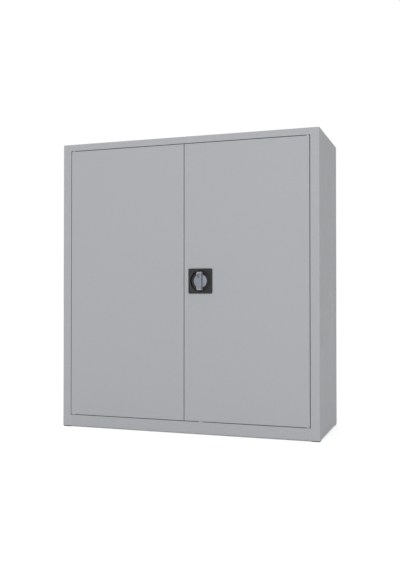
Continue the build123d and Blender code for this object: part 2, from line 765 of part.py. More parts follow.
def square_size(room):
    side = SPINDLE_SIZE + 2 * room
    return side, side


def drive_spindle():
    square = Pos(LOCK_X, LOCK_Z) * Rectangle(*square_size(0.0))
    front = FRONT - SPINDLE_SOCKET + PANEL_FIT
    spindle = along_y(square, front, FRONT + TONGUE_END)
    tapped = END_SCREW_RADIUS + PRESS_ROOM
    start = FRONT + TONGUE_END - END_SCREW_REACH - PANEL_FIT
    return spindle - round_along_y(tapped, LOCK_X, LOCK_Z, start, FRONT + TONGUE_END)


def end_screw():
    seat = FRONT + TONGUE_END
    head_seat = seat + WASHER
    screw = round_along_y(WASHER_RADIUS, LOCK_X, LOCK_Z, seat, head_seat)
    head = round_along_y(
        END_SCREW_HEAD_RADIUS, LOCK_X, LOCK_Z, head_seat, head_seat + END_SCREW_HEAD
    )
    head = chamfer(head.faces().sort_by(Axis.Y)[-1].edges(), END_SCREW_HEAD / 4)
    shank = round_along_y(END_SCREW_RADIUS, LOCK_X, LOCK_Z, seat - END_SCREW_REACH, seat)
    return screw + head + shank


# Flank of a pinion tooth: an involute from the base circle to the tip, then the root
def pinion_tooth():
    angle = math.radians(PRESSURE_ANGLE)
    base = PITCH_RADIUS * math.cos(angle)
    tip = PITCH_RADIUS + PINION_ADDENDUM * MODULE
    root = pinion_root()
    half = math.pi / (2 * TEETH) - FLANK_THINNING / (2 * PITCH_RADIUS)
    start = half + math.tan(angle) - angle
    top_roll = math.sqrt((tip / base) ** 2 - 1)
    flank = []
    for i in range(FLANK_POINTS):
        roll = top_roll * i / (FLANK_POINTS - 1)
        radius = base * math.hypot(1, roll)
        turn = start - (roll - math.atan(roll))
        flank.append((radius * math.cos(turn), radius * math.sin(turn)))
    inside = 0.8 * root
    foot = (inside * math.cos(start), inside * math.sin(start))
    upper = [foot] + flank
    lower = [(x, -y) for x, y in reversed(upper)]
    return make_face(Polyline(*upper, *lower, close=True))


def pinion_root():
    return PITCH_RADIUS - RACK_ADDENDUM * MODULE - TOOTH_CLEARANCE


def drive_pinion():
    gear = Circle(pinion_root()) + [
        Rot(0, 0, 360 * i / TEETH) * pinion_tooth() for i in range(TEETH)
    ]
    place = Pos(LOCK_X, LOCK_Z)
    pinion = along_y(place * gear, FRONT + PINION_START, FRONT + PINION_END)
    pinion += round_along_y(
        NECK_RADIUS, LOCK_X, LOCK_Z, FRONT + PINION_END, FRONT + TONGUE_START
    )
    square = place * Rectangle(*square_size(SQUARE_FIT))
    return pinion - along_y(square, FRONT + PINION_START, FRONT + TONGUE_START)


# Flat tongue that hangs down when unlocked and turns behind the left door when locked
def lock_tongue():
    length = TONGUE_LENGTH - TONGUE_WIDTH / 2
    arm = Pos(0, -length / 2) * Rectangle(TONGUE_WIDTH, length)
    outline = Circle(TONGUE_EYE_RADIUS) + arm + Pos(0, -length) * Circle(TONGUE_WIDTH / 2)
    outline -= Rectangle(*square_size(SQUARE_FIT))
    return along_y(Pos(LOCK_X, LOCK_Z) * outline, FRONT + TONGUE_START, FRONT + TONGUE_END)


# Rod with its rack on the right-hand edge, drawn about the pinion axis, tip upwards
def rod_outline(reach):
    tip_line = PITCH_RADIUS - RACK_ADDENDUM * MODULE
    slope = math.tan(math.radians(PRESSURE_ANGLE))
    half_pitch_land = (PITCH / 2 - FLANK_THINNING) / 2
    half_top = half_pitch_land - slope * (PITCH_RADIUS - tip_line)
    half_root = half_pitch_land + slope * (RACK_ROOT - PITCH_RADIUS)
    edge = []
    for i in range(RACK_TEETH):
        z = PITCH * (i - RACK_TEETH + 2.5)
        edge.append((-RACK_ROOT, z - half_root))
        edge.append((-tip_line, z - half_top))
        edge.append((-tip_line, z + half_top))
        edge.append((-RACK_ROOT, z + half_root))
    outer = -RACK_ROOT - ROD_WIDTH
    bottom = edge[0][1] - PITCH / 2
    points = [(-RACK_ROOT, bottom)] + edge
    points += [(-RACK_ROOT, reach - ROD_TIP_TAPER), (-RACK_ROOT - ROD_TIP_TAPER, reach)]
    points += [(outer + ROD_TIP_TAPER, reach), (outer, reach - ROD_TIP_TAPER), (outer, bottom)]
    return make_face(Polyline(*points, close=True))


def rod(reach, turned):
    outline = Pos(LOCK_X, LOCK_Z) * Rot(0, 0, turned) * rod_outline(reach)
    return along_y(outline, FRONT + ROD_START, FRONT + ROD_START + ROD_THICKNESS)


def upper_rod():
    return rod(DOOR_TOP - ROD_TIP_SINK - LOCK_Z, 0)


def lower_rod():
    return rod(LOCK_Z - DOOR_BOTTOM - ROD_TIP_SINK, 180)


# Guides that carry the rods in the door


def guide_rectangle(wall):
    room = 2 * (GUIDE_CLEARANCE + wall)
    return Rectangle(ROD_WIDTH + room, ROD_THICKNESS + room)


def rod_guide(x, z_flange, inward):
    place = Pos(x, FRONT + ROD_DEPTH)
    neck = sorted((z_flange, z_flange + inward * DOOR_SHEET))
    inner_face = z_flange + inward * DOOR_SHEET
    brim = sorted((inner_face, inner_face + inward * GUIDE_BRIM))
    room = 2 * GUIDE_CLEARANCE
    brim_face = Rectangle(
        ROD_WIDTH + room + 4 * GUIDE_WALL, DOOR_DEPTH - ROD_START - 2 * DOOR_SHEET + GUIDE_WALL
    )
    guide = along_z(place * guide_rectangle(GUIDE_WALL), *neck)
    guide += along_z(place * brim_face, *brim)
    passage = place * guide_rectangle(0.0)
    ends = sorted((z_flange, brim[0], brim[1]))
    return guide - along_z(passage, ends[0], ends[-1])


def rod_guides():
    upper = rod_guide(UPPER_ROD_X, DOOR_TOP, -1)
    lower = rod_guide(LOWER_ROD_X, DOOR_BOTTOM, 1)
    return Compound(children=[upper, lower])


def rod_strap(x, z):
    crown = ROD_WIDTH + 2 * (STRAP_CLEARANCE + UPRIGHT_SHEET)
    height = ROD_START + ROD_THICKNESS + STRAP_CLEARANCE + UPRIGHT_SHEET - DOOR_SHEET
    hat = hat_section(crown, height, STRAP_FOOT, 0.0, UPRIGHT_SHEET)
    place = Pos(x, FRONT + DOOR_SHEET)
    return along_z(place * hat, z - STRAP_LENGTH / 2, z + STRAP_LENGTH / 2)


def rod_straps():
    upper = rod_strap(UPPER_ROD_X, LOCK_Z + STRAP_FROM_LOCK)
    lower = rod_strap(LOWER_ROD_X, LOCK_Z - STRAP_FROM_LOCK)
    return Compound(children=[upper, lower])


# All pieces, by the name of their node

pieces = {
    "top_panel": top_panel(),
    "bottom_panel": bottom_panel(),
    "back_panel": back_panel(),
    "door_buffers": door_buffers(),
    "door_glide": door_glide(),
    "lock_housing": lock_housing(),
    "lock_cover": lock_cover(),
    "cover_screws": cover_screws(),
    "housing_screws": housing_screws(),
    "handle_grip": handle_grip(),
    "cylinder_barrel": cylinder_barrel(),
    "key_plug": key_plug(),
    "drive_spindle": drive_spindle(),
    "drive_pinion": drive_pinion(),
    "lock_tongue": lock_tongue(),
    "end_screw": end_screw(),
    "upper_rod": upper_rod(),
    "lower_rod": lower_rod(),
    "rod_guides": rod_guides(),
    "rod_straps": rod_straps(),
}
pieces["side_panel_right"], pieces["side_panel_left"] = mirrored_pair(side_panel())
pieces["door_left"] = mirror(door_panel(), about=Plane.YZ)
pieces["door_right"] = right_door_panel()
for name, shape in (("door_stiffener", door_stiffener()), ("pivot_bushes", pivot_bushes())):
    pieces[name + "_right"], pieces[name + "_left"] = mirrored_pair(shape)
lower_pins = mirrored_pair(pivot_pin(SILL, 1, DOOR_GAP - BUSH_FLANGE))
upper_pins = mirrored_pair(pivot_pin(LINTEL, -1, DOOR_GAP - BUSH_FLANGE - UPPER_PIN_PLAY))
pieces["pivot_pins_lower"] = Compound(children=list(lower_pins))
pieces["pivot_pins_upper"] = Compound(children=list(upper_pins))
front_foot, rear_foot = [foot(foot_x(), y) for y in foot_rows()]
pieces["foot_front_right"], pieces["foot_front_left"] = mirrored_pair(front_foot)
pieces["foot_rear_right"], pieces["foot_rear_left"] = mirrored_pair(rear_foot)
front_upright = upright(FRONT + UPRIGHT_FRONT)
rear_upright = upright(BACK - UPRIGHT_REAR)
pieces["upright_front_right"], pieces["upright_front_left"] = mirrored_pair(front_upright)
pieces["upright_rear_right"], pieces["upright_rear_left"] = mirrored_pair(rear_upright)
for number, slot_z in enumerate(shelf_slots(), start=1):
    pieces[f"shelf_{number}"] = shelf(slot_z)
    pieces[f"shelf_stiffener_{number}"] = shelf_stiffener(slot_z)
    pieces[f"shelf_clips_{number}"] = shelf_clips(slot_z)

for name, shape in pieces.items():
    export_step(shape, f"parts/{name}.step")
print(len(pieces), "nodes written")
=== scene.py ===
import json
from math import radians

import bpy
import bmesh
from mathutils import Matrix, Vector


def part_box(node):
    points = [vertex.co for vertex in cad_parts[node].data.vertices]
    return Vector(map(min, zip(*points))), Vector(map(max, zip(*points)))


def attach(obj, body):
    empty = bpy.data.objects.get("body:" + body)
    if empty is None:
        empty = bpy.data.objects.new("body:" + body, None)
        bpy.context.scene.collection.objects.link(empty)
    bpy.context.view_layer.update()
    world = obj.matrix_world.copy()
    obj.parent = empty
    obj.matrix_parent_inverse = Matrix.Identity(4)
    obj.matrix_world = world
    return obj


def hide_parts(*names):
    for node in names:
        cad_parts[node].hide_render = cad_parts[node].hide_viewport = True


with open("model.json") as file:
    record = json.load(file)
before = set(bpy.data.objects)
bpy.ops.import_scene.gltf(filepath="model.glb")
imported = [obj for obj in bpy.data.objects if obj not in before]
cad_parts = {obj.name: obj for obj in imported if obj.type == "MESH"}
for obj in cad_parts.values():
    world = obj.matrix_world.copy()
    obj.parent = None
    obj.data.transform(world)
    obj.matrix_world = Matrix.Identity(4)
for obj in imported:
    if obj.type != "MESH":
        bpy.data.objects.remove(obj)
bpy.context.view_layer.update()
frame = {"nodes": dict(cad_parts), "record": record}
cadNodes = frame["nodes"]
print("frame loaded,", len(cadNodes), "nodes")


# Camera

cameraView = {
    "place": (0.86203, -2.50834, 0.46343),  # metres, in the cabinet's frame
    "turn": 18.964,  # degrees to the left of straight at the doors
    "tilt": 0.819,  # degrees above the horizon
    "lens": 46.85,  # millimetres, on a sensor 36 mm wide
}


def addCamera(view):
    data = bpy.data.cameras.new("photoCamera")
    data.lens = view["lens"]
    data.sensor_width = 36.0
    data.clip_start = 0.05
    data.clip_end = 60.0
    camera = bpy.data.objects.new("photoCamera", data)
    camera.location = view["place"]
    camera.rotation_euler = (radians(90 + view["tilt"]), 0, radians(view["turn"]))
    bpy.context.scene.collection.objects.link(camera)
    bpy.context.scene.camera = camera


addCamera(cameraView)


# Node trees


def startMaterial(name):
    material = bpy.data.materials.new(name)
    material.use_nodes = True
    tree = material.node_tree
    tree.nodes.clear()
    output = tree.nodes.new("ShaderNodeOutputMaterial")
    surface = tree.nodes.new("ShaderNodeBsdfPrincipled")
    tree.links.new(surface.outputs["BSDF"], output.inputs["Surface"])
    coords = tree.nodes.new("ShaderNodeTexCoord")
    return material, tree, surface, coords.outputs["Object"]


def stretched(tree, vector, scale):
    mapping = tree.nodes.new("ShaderNodeMapping")
    mapping.inputs["Scale"].default_value = scale
    tree.links.new(vector, mapping.inputs["Vector"])
    return mapping.outputs["Vector"]


def noise(tree, vector, scale, detail=2.0, roughness=0.5):
    node = tree.nodes.new("ShaderNodeTexNoise")
    node.inputs["Scale"].default_value = scale
    node.inputs["Detail"].default_value = detail
    node.inputs["Roughness"].default_value = roughness
    tree.links.new(vector, node.inputs["Vector"])
    return node.outputs["Fac"]


def cells(tree, vector, scale):
    node = tree.nodes.new("ShaderNodeTexVoronoi")
    node.inputs["Scale"].default_value = scale
    tree.links.new(vector, node.inputs["Vector"])
    return node.outputs["Distance"]


# Most of a noise lies between 0.3 and 0.7
def remap(tree, value, low, high, fromLow=0.3, fromHigh=0.7):
    node = tree.nodes.new("ShaderNodeMapRange")
    node.inputs["From Min"].default_value = fromLow
    node.inputs["From Max"].default_value = fromHigh
    node.inputs["To Min"].default_value = low
    node.inputs["To Max"].default_value = high
    tree.links.new(value, node.inputs["Value"])
    return node.outputs["Result"]


def multiplied(tree, first, second):
    node = tree.nodes.new("ShaderNodeMath")
    node.operation = "MULTIPLY"
    for socket, value in zip(node.inputs, (first, second)):
        if isinstance(value, bpy.types.NodeSocket):
            tree.links.new(value, socket)
        else:
            socket.default_value = value
    return node.outputs[0]


wearLook = {
    "samples": 6,
    "turned": (0.88, 0.995),  # how well the two surfaces agree at full wear and at none
    "bare": (0.38, 0.6),  # the noise at which a patch starts and is full
    "between": 0.3,  # share of the wear that is left between the patches
}


# 1 along the edges of a piece and 0 on its flats, broken up into patches. An edge shows
# where a rounded copy of the surface turns away from the real one.
def edgeWear(tree, place, width, patches):
    rounded = tree.nodes.new("ShaderNodeBevel")
    rounded.samples = wearLook["samples"]
    rounded.inputs["Radius"].default_value = width
    real = tree.nodes.new("ShaderNodeNewGeometry")
    match = tree.nodes.new("ShaderNodeVectorMath")
    match.operation = "DOT_PRODUCT"
    tree.links.new(rounded.outputs["Normal"], match.inputs[0])
    tree.links.new(real.outputs["Normal"], match.inputs[1])
    band = remap(tree, match.outputs["Value"], 1.0, 0.0, *wearLook["turned"])
    spots = noise(tree, place, patches, detail=4.0, roughness=0.6)
    patchy = remap(tree, spots, wearLook["between"], 1.0, *wearLook["bare"])
    return multiplied(tree, band, patchy)


# Inputs 6 and 7 of a Mix node are its two colours, and output 2 is the mixed one
def blendColours(tree, factor, first, second):
    node = tree.nodes.new("ShaderNodeMix")
    node.data_type = "RGBA"
    tree.links.new(factor, node.inputs[0])
    for socket, colour in ((node.inputs[6], first), (node.inputs[7], second)):
        if isinstance(colour, bpy.types.NodeSocket):
            tree.links.new(colour, socket)
        else:
            socket.default_value = (*colour, 1.0)
    return node.outputs[2]


def bump(tree, height, distance, strength=1.0, before=None):
    node = tree.nodes.new("ShaderNodeBump")
    node.inputs["Strength"].default_value = strength
    node.inputs["Distance"].default_value = distance
    tree.links.new(height, node.inputs["Height"])
    if before is not None:
        tree.links.new(before, node.inputs["Normal"])
    return node.outputs["Normal"]


# Finishes

powderCoat = {
    "colour": (0.400, 0.407, 0.425),
    "shadeChange": 0.012,  # share by which the colour drifts over the sheets
    "shadeWaves": 2.6,  # waves per metre, like the patches below
    "edgeColour": (0.462, 0.467, 0.480),  # the coat is thin and rubbed on the folds
    "edgeWidth": 0.003,
    "edgePatches": 26.0,
    "gloss": 0.25,
    "roughness": (0.52, 0.60),
    "roughPatches": 34.0,
    "handled": 0.05,  # how much smoother the coat is where hands have rubbed it
    "smears": (5.0, 5.0, 2.2),  # the rubbed places are taller than wide
    "smeared": (0.55, 0.72),  # the noise at which a smear starts and is full
    "orangePeel": 520.0,  # waves per metre of the coat's skin
    "peelDepth": 0.00007,
    "grit": (4, 0.25),  # how much finer than the peel, and its share of the peel's depth
}


def makePowderCoat(finish):
    material, tree, surface, place = startMaterial("powderCoat")
    surface.inputs["Specular IOR Level"].default_value = finish["gloss"]
    drift = noise(tree, place, finish["shadeWaves"])
    change = finish["shadeChange"]
    darker = [c * (1 - change) for c in finish["colour"]]
    lighter = [c * (1 + change) for c in finish["colour"]]
    field = blendColours(tree, drift, darker, lighter)
    worn = edgeWear(tree, place, finish["edgeWidth"], finish["edgePatches"])
    coat = blendColours(tree, worn, field, finish["edgeColour"])
    tree.links.new(coat, surface.inputs["Base Color"])
    patches = noise(tree, place, finish["roughPatches"], detail=3.0)
    tall = stretched(tree, place, finish["smears"])
    smears = noise(tree, tall, 1.0, detail=4.0, roughness=0.65)
    rubbed = remap(tree, smears, 0.0, finish["handled"], *finish["smeared"])
    skinRough = remap(tree, patches, *finish["roughness"])
    roughness = tree.nodes.new("ShaderNodeMath")
    roughness.operation = "SUBTRACT"
    tree.links.new(skinRough, roughness.inputs[0])
    tree.links.new(rubbed, roughness.inputs[1])
    tree.links.new(roughness.outputs[0], surface.inputs["Roughness"])
    finer, shallower = finish["grit"]
    peel = noise(tree, place, finish["orangePeel"], detail=1.0)
    grit = noise(tree, place, finish["orangePeel"] * finer)
    coatSkin = bump(tree, peel, finish["peelDepth"], strength=0.8)
    gritDepth = finish["peelDepth"] * shallower
    coatSkin = bump(tree, grit, gritDepth, strength=0.6, before=coatSkin)
    tree.links.new(coatSkin, surface.inputs["Normal"])
    return material


zincPlate = {
    "colour": (0.52, 0.53, 0.55),
    "cloudy": (0.38, 0.39, 0.42),
    "rubbed": (0.68, 0.69, 0.70),
    "edgeWidth": 0.0009,
    "roughness": (0.26, 0.46),
    "lines": (40.0, 40.0, 2.0),  # the drawn grain runs along Z
    "lineShade": 0.16,  # share by which the grain's valleys are darker
    "lineDepth": 0.00002,
}

castZinc = {
    "colour": (0.46, 0.46, 0.465),
    "cloudy": (0.37, 0.37, 0.38),
    "rubbed": (0.60, 0.60, 0.61),
    "edgeWidth": 0.0009,
    "roughness": (0.42, 0.60),
    "lines": (30.0, 30.0, 30.0),  # a cast skin has no direction
    "lineShade": 0.12,
    "lineDepth": 0.00004,
}

# The key cylinder's satin chrome, darkened to paint the shade of the recess it sits in
nickelWithPaintedShade = {
    "colour": (0.135, 0.145, 0.166),
    "cloudy": (0.112, 0.121, 0.140),
    "rubbed": (0.30, 0.30, 0.31),
    "edgeWidth": 0.0006,
    "roughness": (0.44, 0.56),
    "lines": (60.0, 60.0, 6.0),
    "lineShade": 0.08,
    "lineDepth": 0.000006,
}

metalTexture = {
    "clouds": 45.0,  # waves per metre, like the grain and the edge patches
    "grain": 30.0,
    "edgePatches": 90.0,
    "valleys": (0.3, 0.5),  # the grain's height at the bottom and the top of a valley
    "valleyShare": 0.6,  # of the valleys' colour, at the bottom
}


def makeMetal(name, finish):
    material, tree, surface, place = startMaterial(name)
    surface.inputs["Metallic"].default_value = 1.0
    texture = metalTexture
    cloud = remap(tree, noise(tree, place, texture["clouds"], detail=3.0), 0.0, 1.0)
    plated = blendColours(tree, cloud, finish["cloudy"], finish["colour"])
    grain = noise(tree, stretched(tree, place, finish["lines"]), texture["grain"], detail=3.0)
    valleyColour = [c * (1 - finish["lineShade"]) for c in finish["cloudy"]]
    valleys = remap(tree, grain, texture["valleyShare"], 0.0, *texture["valleys"])
    drawn = blendColours(tree, valleys, plated, valleyColour)
    worn = edgeWear(tree, place, finish["edgeWidth"], texture["edgePatches"])
    metal = blendColours(tree, worn, drawn, finish["rubbed"])
    tree.links.new(metal, surface.inputs["Base Color"])
    tree.links.new(remap(tree, grain, *finish["roughness"]), surface.inputs["Roughness"])
    lines = bump(tree, grain, finish["lineDepth"], strength=0.5)
    tree.links.new(lines, surface.inputs["Normal"])
    return material


mouldedBlack = {
    "colour": (0.0100, 0.0100, 0.0105),
    "paintedLightBands": (  # bands of painted light and shade: axis, where the colour starts and is full, the colour and its share
        ("Y", -0.1675, -0.1635, (0.0210, 0.0210, 0.0225), 0.7),  # painted light in the bowl, lifting the shade that its wall casts on it
    ),
    "dusty": (0.0145, 0.0145, 0.015),
    "rubbed": (0.032, 0.032, 0.033),
    "edgeWidth": 0.0018,
    "gloss": 0.3,
    "roughness": (0.42, 0.55),
    "grain": 2600.0,  # pits per metre of the mould's etched skin
}

plasticTexture = {
    "clouds": 60.0,  # waves per metre, like the edge patches
    "edgePatches": 120.0,
    "pitDepth": 0.00002,
}


def makeMouldedPlastic(name, finish):
    material, tree, surface, place = startMaterial(name)
    surface.inputs["Specular IOR Level"].default_value = finish["gloss"]
    cloud = noise(tree, place, plasticTexture["clouds"], detail=3.0)
    toneAndPaintedLight = blendColours(tree, cloud, finish["colour"], finish["dusty"])
    split = tree.nodes.new("ShaderNodeSeparateXYZ")
    tree.links.new(place, split.inputs[0])
    # Each band blends a colour of painted light and shade into the plastic's own tone, along one
    # axis of the piece
    for axis, start, end, colour, share in finish.get("paintedLightBands", ()):
        paintedLightMask = remap(tree, split.outputs[axis], 0.0, share, start, end)
        toneAndPaintedLight = blendColours(tree, paintedLightMask, toneAndPaintedLight, colour)
    worn = edgeWear(tree, place, finish["edgeWidth"], plasticTexture["edgePatches"])
    plastic = blendColours(tree, worn, toneAndPaintedLight, finish["rubbed"])
    tree.links.new(plastic, surface.inputs["Base Color"])
    tree.links.new(remap(tree, cloud, *finish["roughness"]), surface.inputs["Roughness"])
    grain = cells(tree, place, finish["grain"])
    pits = bump(tree, grain, plasticTexture["pitDepth"], strength=0.4)
    tree.links.new(pits, surface.inputs["Normal"])
    return material


gripSilver = {
    "colour": (0.236, 0.250, 0.285),
    "dusty": (0.248, 0.262, 0.296),
    "rubbed": (0.330, 0.345, 0.375),
    # The grip's bands are painted light and shade
    "paintedLightBands": (
        ("Y", -0.1839, -0.1844, (0.210, 0.230, 0.280), 1.0),  # painted shade: the bar's front face darker and bluer, like a dark reflection
        ("Z", 0.5370, 0.5378, (0.312, 0.322, 0.338), 1.0),  # painted highlights on its sloping ends, the upper here and the lower below
        ("Z", 0.4870, 0.4862, (0.345, 0.353, 0.372), 1.0),
    ),
    "edgeWidth": 0.0014,
    "gloss": 0.4,
    "roughness": (0.34, 0.44),
    "grain": 3200.0,
}

greyNylon = {
    "colour": (0.55, 0.56, 0.58),
    "dusty": (0.59, 0.60, 0.61),
    "rubbed": (0.66, 0.67, 0.68),
    "edgeWidth": 0.0004,
    "gloss": 0.45,
    "roughness": (0.36, 0.46),
    "grain": 1800.0,
}

footPlastic = {
    "colour": (0.070, 0.071, 0.073),
    "dusty": (0.095, 0.095, 0.094),
    "rubbed": (0.130, 0.130, 0.130),
    "edgeWidth": 0.0006,
    "gloss": 0.35,
    "roughness": (0.5, 0.62),
    "grain": 1600.0,
}

bufferRubber = {
    "colour": (0.024, 0.024, 0.024),
    "dusty": (0.040, 0.040, 0.039),
    "rubbed": (0.055, 0.055, 0.054),
    "edgeWidth": 0.0005,
    "gloss": 0.3,
    "roughness": (0.62, 0.75),
    "grain": 1400.0,
}

finishes = {
    "body_paint": makePowderCoat(powderCoat),
    "zinc_plated_steel": makeMetal("zincPlate", zincPlate),
    "zinc_die_cast": makeMetal("castZinc", castZinc),
    "satin_chrome": makeMetal("nickelWithPaintedShade", nickelWithPaintedShade),
    "black_plastic": makeMouldedPlastic("mouldedBlack", mouldedBlack),
    "grip_plastic": makeMouldedPlastic("gripSilver", gripSilver),
    "grey_nylon": makeMouldedPlastic("greyNylon", greyNylon),
    "foot_plastic": makeMouldedPlastic("footPlastic", footPlastic),
    "buffer_rubber": makeMouldedPlastic("bufferRubber", bufferRubber),
}
print("finishes made")

slotOf = {part["node"]: part["material_slot"] for part in frame["record"]["subparts"]}
for node, slot in slotOf.items():
    for materialSlot in cadNodes[node].material_slots:
        materialSlot.material = finishes[slot]


# Modelling steps that several pieces share. A lock piece is modelled lying on its back,
# with Z towards the viewer, and is then stood up on the door.

mergeDistance = 1e-6
squareCuts = 7  # cuts in each side of a square loop, for the bridges to round loops
arcMiddle = 0.3  # how far the middle of a rounded edge lies inside its corner, in radii
tipTaper = 0.85  # a peg's tip as a share of its width


def nodeBox(node):
    low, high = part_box(node)
    return Vector(low), Vector(high)


# Keeps the order of the edges, so that every run gives the same mesh
def loopEdges(verts):
    chosen = set(verts)
    edges = [e for v in verts for e in v.link_edges if chosen.issuperset(e.verts)]
    return list(dict.fromkeys(edges))


def circleLoop(mesh, radius, height, steps=64):
    made = bmesh.ops.create_circle(mesh, cap_ends=False, segments=steps, radius=radius)
    bmesh.ops.translate(mesh, verts=made["verts"], vec=(0, 0, height))
    return made["verts"]


def ovalLoop(mesh, length, width, height, steps=32):
    verts = circleLoop(mesh, width / 2, height, steps)
    bmesh.ops.rotate(mesh, verts=verts, matrix=Matrix.Rotation(radians(180 / steps), 3, "Z"))
    for side in (1, -1):
        half = [v for v in verts if v.co.y * side > 0]
        bmesh.ops.translate(mesh, verts=half, vec=(0, side * (length - width) / 2, 0))
    return verts


# The first loop of a piece, because the bevel of its corners clears loose edges. At a
# corner x times y is a quarter of the area, and less everywhere else.
def squareLoop(mesh, width, length, height, corner=0.0, cornerSteps=6, cuts=squareCuts):
    verts = bmesh.ops.create_grid(mesh, x_segments=1, y_segments=1, size=0.5)["verts"]
    bmesh.ops.scale(mesh, verts=verts, vec=(width, length, 1))
    bmesh.ops.translate(mesh, verts=verts, vec=(0, 0, height))
    bmesh.ops.subdivide_edges(mesh, edges=mesh.edges[:], cuts=cuts)
    if corner:
        corners = [v for v in mesh.verts if abs(v.co.x * v.co.y) > width * length * 0.2499]
        bmesh.ops.bevel(mesh, geom=corners, affect="VERTICES", offset=corner,
                        segments=cornerSteps, profile=0.5, material=-1)
    verts = mesh.verts[:]
    bmesh.ops.delete(mesh, geom=mesh.faces[:], context="FACES_ONLY")
    return verts


def extrudeLoop(mesh, verts, height, scale=1.0, lengthScale=None):
    made = bmesh.ops.extrude_edge_only(mesh, edges=loopEdges(verts))["geom"]
    fresh = [v for v in made if isinstance(v, bmesh.types.BMVert)]
    bmesh.ops.translate(mesh, verts=fresh, vec=(0, 0, height))
    bmesh.ops.scale(mesh, verts=fresh, vec=(scale, lengthScale or scale, 1))
    return fresh


def skin(mesh, loops):
    for first, second in zip(loops, loops[1:]):
        bmesh.ops.bridge_loops(mesh, edges=loopEdges(first) + loopEdges(second))


def capLoop(mesh, verts):
    bmesh.ops.edgeloop_fill(mesh, edges=loopEdges(verts))


def roundEdges(mesh, verts, size, steps=3):
    bmesh.ops.bevel(mesh, geom=loopEdges(verts), affect="EDGES", offset=size, segments=steps,
                    profile=0.5, material=-1)


def spinProfile(mesh, profile, steps=48):
    verts = [mesh.verts.new((radius, 0, height)) for radius, height in profile]
    edges = [mesh.edges.new(pair) for pair in zip(verts, verts[1:])]
    bmesh.ops.spin(mesh, geom=verts + edges, axis=(0, 0, 1), cent=(0, 0, 0), angle=radians(360),
                   steps=steps, use_merge=True)


def standUp(mesh, place, inward=False):
    turn = Matrix.Rotation(radians(-90 if inward else 90), 4, "X")
    bmesh.ops.transform(mesh, matrix=Matrix.Translation(place) @ turn, verts=mesh.verts)


def finishPiece(name, mesh, body, slot, nodes, sharpAngle=32):
    bmesh.ops.remove_doubles(mesh, verts=mesh.verts, dist=mergeDistance)
    bmesh.ops.recalc_face_normals(mesh, faces=mesh.faces)
    data = bpy.data.meshes.new(name)
    mesh.to_mesh(data)
    mesh.free()
    data.shade_smooth()
    data.set_sharp_from_angle(angle=radians(sharpAngle))
    data.materials.append(finishes[slot])
    piece = bpy.data.objects.new(name, data)
    bpy.context.scene.collection.objects.link(piece)
    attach(piece, body)
    if nodes:
        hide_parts(*nodes)


# Black lock housing: a square plate with a round bowl for the fingers

housing = {
    "plateThickness": 0.003,
    "plateCorner": 0.0045,
    "plateEdge": 0.0011,
    "bowlRadius": 0.035,
    "bowlDepth": 0.008,
    "bowlDraft": 0.001,
    "bowlFloor": 0.0025,
    "bowlWall": 0.002,
    "rimEdge": 0.0006,
    "bearingRadius": 0.00706,
    "postRadius": 0.0035,
    "pilotRadius": 0.0016,
    "postSpread": (0.0235, 0.022),
    "postDepth": 0.018,
    "postSunk": 0.0002,  # how far its root lies in the floor of the bowl
}

plateLow, plateHigh = nodeBox("lock_housing")
lockX = (plateLow.x + plateHigh.x) / 2
lockZ = (plateLow.z + plateHigh.z) / 2
doorFront = plateLow.y + housing["plateThickness"]


def makeLockHousing(h):
    mesh = bmesh.new()
    size = plateHigh.x - plateLow.x
    radius, depth = h["bowlRadius"], h["bowlDepth"]
    back = -depth - h["bowlFloor"]
    outer = radius + h["bowlWall"]
    plateBack = squareLoop(mesh, size, size, 0, h["plateCorner"], cornerSteps=8)
    skin(mesh, [plateBack, circleLoop(mesh, outer, 0)])
    plateFront = extrudeLoop(mesh, plateBack, h["plateThickness"])
    rim = circleLoop(mesh, radius, h["plateThickness"])
    skin(mesh, [plateFront, rim])
    footRadius, bearing = radius - h["bowlDraft"], h["bearingRadius"]
    bowlFoot = extrudeLoop(mesh, rim, -depth - h["plateThickness"], footRadius / radius)
    bearingFront = extrudeLoop(mesh, bowlFoot, 0, bearing / footRadius)
    bearingBack = extrudeLoop(mesh, bearingFront, -h["bowlFloor"])
    tubeBack = extrudeLoop(mesh, bearingBack, 0, outer / bearing)
    extrudeLoop(mesh, tubeBack, -back)  # ends on the plate's back and is merged with it
    bmesh.ops.remove_doubles(mesh, verts=mesh.verts, dist=mergeDistance)
    roundEdges(mesh, plateFront, h["plateEdge"], steps=4)
    roundEdges(mesh, rim, h["rimEdge"])
    roundEdges(mesh, bowlFoot, h["bowlDraft"], steps=4)
    pilot, post = h["pilotRadius"], h["postRadius"]
    root, end = back + h["postSunk"], -h["postDepth"]
    for across in (-1, 1):
        for along in (-1, 1):
            before = set(mesh.verts)
            spinProfile(mesh, [(pilot, root), (pilot, end), (post, end), (post, root),
                               (pilot, root)], steps=32)
            fresh = [v for v in mesh.verts if v not in before]
            place = (across * h["postSpread"][0], along * h["postSpread"][1], 0)
            bmesh.ops.translate(mesh, verts=fresh, vec=place)
    standUp(mesh, (lockX, doorFront, lockZ))
    finishPiece("lockHousing", mesh, "right_door", "black_plastic", ["lock_housing"])


# Grip: a bar with sloping ends on a round rotor, and the recess for the key cylinder

grip = {
    "length": 0.061,
    "width": 0.017,
    "proud": 0.019,
    "endSlope": (0.005, 0.006),  # along the bar, into the depth
    "edge": 0.0006,
    "rotorRadius": 0.0227,
    "rotorProud": 0.003,  # level with the face of the plate
    "rotorDepth": 0.0077,
    "rotorEdge": 0.0009,
    "neckRadius": 0.007,
    "neckDepth": 0.0108,
    "cylinderSink": 0.0015,
    "cylinderGap": 0.0001,  # the recess is this much longer and wider than the flange
    "flange": 0.002,
    "cornerAngle": 0.3,  # radians: a sharper turn than this is rounded
}

barrelLow, barrelHigh = nodeBox("cylinder_barrel")
barrelZ = (barrelLow.z + barrelHigh.z) / 2


